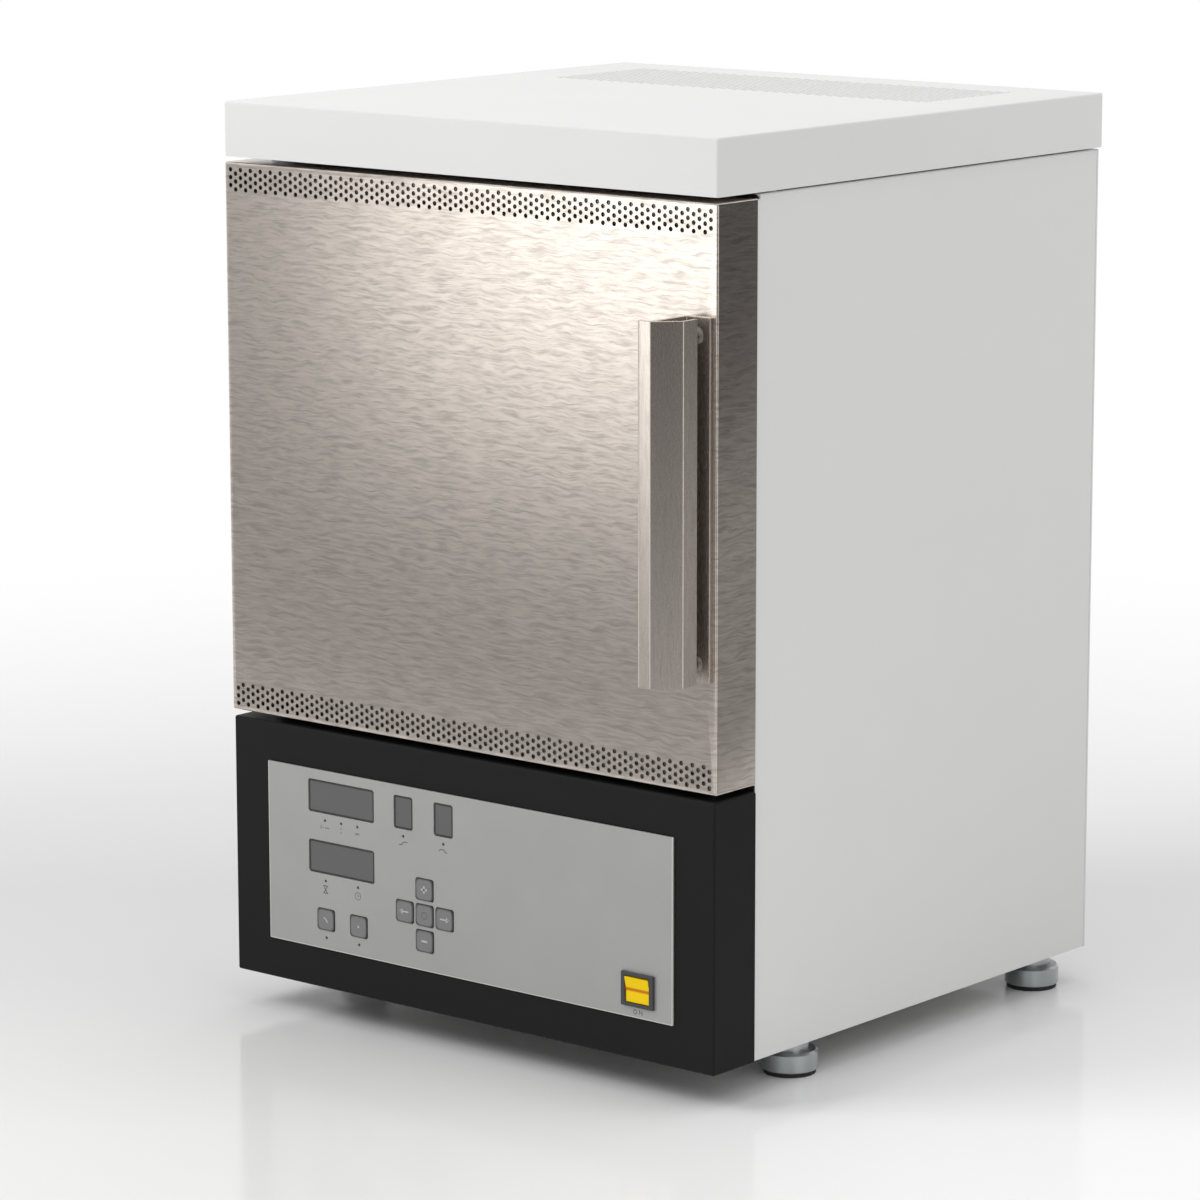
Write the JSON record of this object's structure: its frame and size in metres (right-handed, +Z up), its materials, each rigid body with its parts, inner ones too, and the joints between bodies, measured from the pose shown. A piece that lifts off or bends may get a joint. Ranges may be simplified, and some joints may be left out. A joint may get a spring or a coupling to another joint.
{
  "type": "dental sintering furnace",
  "caption": "Bench-top furnace for sintering dental ceramics, with a side-hinged insulated door above a control console.",
  "frame": {"origin": "centre of the bounding box in X and Y, at the underside of the foot pads", "axes": "+Z up, -Y out of the front, +X to the right as seen from the front"},
  "size_m": [0.411, 0.44, 0.591],
  "materials": {
    "white_powder_coat": "semi-matt powder coat with a fine orange peel",
    "black_powder_coat": "black powder coat, fine texture",
    "brushed_steel": "stainless, brushed horizontally",
    "brushed_profile": "stainless, fine upright grain",
    "plain_steel": "zinc plated sheet",
    "bright_steel": "turned and plated",
    "foot_metal": "turned, satin",
    "foot_rubber": "moulded",
    "panel_metal": "anodised, satin",
    "conductor": "bare strip",
    "sink_metal": "drawn profile",
    "display_filter": "smoked filter, glossy",
    "lens_plastic": "dark clear",
    "key_plastic": "moulded, matt",
    "switch_yellow": "moulded, glossy",
    "black_plastic": "moulded",
    "pale_plastic": "moulded",
    "board_green": "lacquered board",
    "winding_tape": "wound tape",
    "fibre_board": "fibrous, dusty matt",
    "fired_ceramic": "fired, matt",
    "element_dark": "glassy grey rod",
    "seal_rope": "braided",
    "magnet_metal": "plated"
  },
  "bodies": {
    "case": {"top_cover": "white_powder_coat", "left_side_panel": "white_powder_coat", "right_side_panel": "white_powder_coat", "rear_panel": "white_powder_coat", "front_frame": "black_powder_coat", "console_housing": "black_powder_coat", "base_plate": "plain_steel", "middle_shelf": "plain_steel", "chamber_casing": "plain_steel", "casing_rails": "plain_steel", "hinge_case_leaves": "plain_steel", "lid_spacers": "plain_steel", "transformer_clamp": "plain_steel", "fan_guard": "plain_steel", "case_fasteners": "bright_steel", "hinge_pins": "bright_steel", "board_spacers": "bright_steel", "feet": "foot_metal", "foot_pads": "foot_rubber", "control_panel": "panel_metal", "terminal_straps": "conductor", "heat_sink": "sink_metal", "display_windows": "display_filter", "indicator_lenses": "lens_plastic", "switch_bezel": "black_plastic", "key_switches": "black_plastic", "display_modules": "black_plastic", "thyristor_module": "black_plastic", "fan_frame": "black_plastic", "mains_inlet": "black_plastic", "main_contactor": "pale_plastic", "control_board": "board_green", "transformer": "winding_tape", "floor_insulation": "fibre_board", "roof_insulation": "fibre_board", "side_insulation": "fibre_board", "rear_insulation": "fibre_board", "front_collar": "fibre_board", "hearth_plate": "fired_ceramic", "element_holders": "fired_ceramic", "thermocouple": "fired_ceramic", "heating_elements": "element_dark", "catch_magnets": "magnet_metal"},
    "door": {"door_skin": "brushed_steel", "door_inner_panel": "plain_steel", "door_insulation_tray": "plain_steel", "door_insulation": "fibre_board", "door_seal": "seal_rope", "door_handle": "brushed_profile", "handle_screws": "bright_steel", "hinge_door_leaves": "plain_steel"},
    "key_one_cap": {"key_one": "key_plastic"},
    "key_two_cap": {"key_two": "key_plastic"},
    "key_up_cap": {"key_up": "key_plastic"},
    "key_left_cap": {"key_left": "key_plastic"},
    "key_enter_cap": {"key_enter": "key_plastic"},
    "key_right_cap": {"key_right": "key_plastic"},
    "key_down_cap": {"key_down": "key_plastic"},
    "rocker": {"power_rocker": "switch_yellow"},
    "rotor": {"fan_rotor": "black_plastic"}
  },
  "joints": [
    {"name": "door_hinge", "type": "hinge", "parent": "case", "child": "door", "pos_m": [-0.2005, -0.1435, 0.37485], "axis": [0, 0, -1], "range_deg": [0, 150]},
    {"name": "key_one_press", "type": "slide", "parent": "case", "child": "key_one_cap", "axis": [0, 1, 0], "range_m": [0, 0.0008], "stiffness_N_per_m": 400},
    {"name": "key_two_press", "type": "slide", "parent": "case", "child": "key_two_cap", "axis": [0, 1, 0], "range_m": [0, 0.0008], "stiffness_N_per_m": 400},
    {"name": "key_up_press", "type": "slide", "parent": "case", "child": "key_up_cap", "axis": [0, 1, 0], "range_m": [0, 0.0008], "stiffness_N_per_m": 400},
    {"name": "key_left_press", "type": "slide", "parent": "case", "child": "key_left_cap", "axis": [0, 1, 0], "range_m": [0, 0.0008], "stiffness_N_per_m": 400},
    {"name": "key_enter_press", "type": "slide", "parent": "case", "child": "key_enter_cap", "axis": [0, 1, 0], "range_m": [0, 0.0008], "stiffness_N_per_m": 400},
    {"name": "key_right_press", "type": "slide", "parent": "case", "child": "key_right_cap", "axis": [0, 1, 0], "range_m": [0, 0.0008], "stiffness_N_per_m": 400},
    {"name": "key_down_press", "type": "slide", "parent": "case", "child": "key_down_cap", "axis": [0, 1, 0], "range_m": [0, 0.0008], "stiffness_N_per_m": 400},
    {"name": "rocker_tip", "type": "hinge", "parent": "case", "child": "rocker", "pos_m": [0.1469, -0.1845, 0.0677], "axis": [-1, 0, 0], "range_deg": [0, 12]},
    {"name": "fan_spin", "type": "hinge", "parent": "case", "child": "rotor", "pos_m": [0.1055, 0.2025, 0.105], "axis": [0, 1, 0], "continuous": true}
  ]
}
